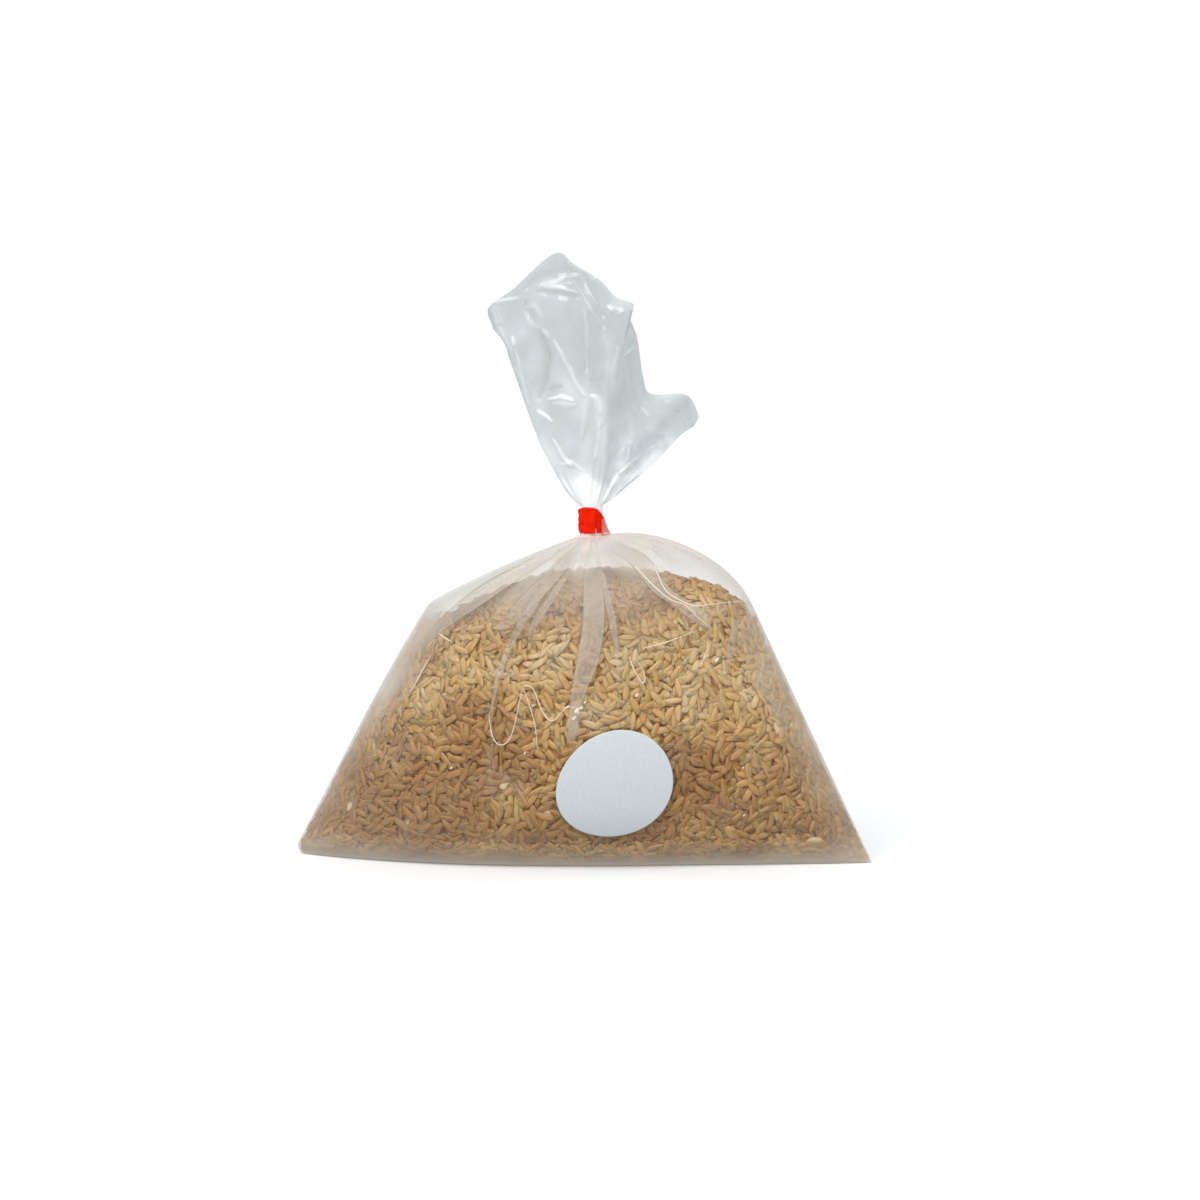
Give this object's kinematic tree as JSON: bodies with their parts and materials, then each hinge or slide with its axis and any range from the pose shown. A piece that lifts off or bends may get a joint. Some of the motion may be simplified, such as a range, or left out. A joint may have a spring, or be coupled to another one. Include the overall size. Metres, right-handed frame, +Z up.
{
  "type": "bag of rice",
  "caption": "Clear film bag filled with golden long-grain rice, gathered and tied at the neck with red tape, with a blank oval label on its front.",
  "frame": {"origin": "on the surface the bag stands on, under the middle of its bounding box", "axes": "+Z up through the tied neck, +X along the bottom of the bag to the right as seen from the front, -Y towards the front, which carries the label"},
  "size_m": [0.2541, 0.0767, 0.2665],
  "materials": {
    "filled_film": "clear film over golden rice",
    "clear_film": "clear, glossy, creased film",
    "rice": "dry, slightly waxy grains",
    "red_tape": "satin red film tape",
    "label_paper": "coated off-white paper"
  },
  "bodies": {
    "root": {"bag": "filled_film", "neck_tape": "red_tape", "label": "label_paper"}
  },
  "joints": []
}
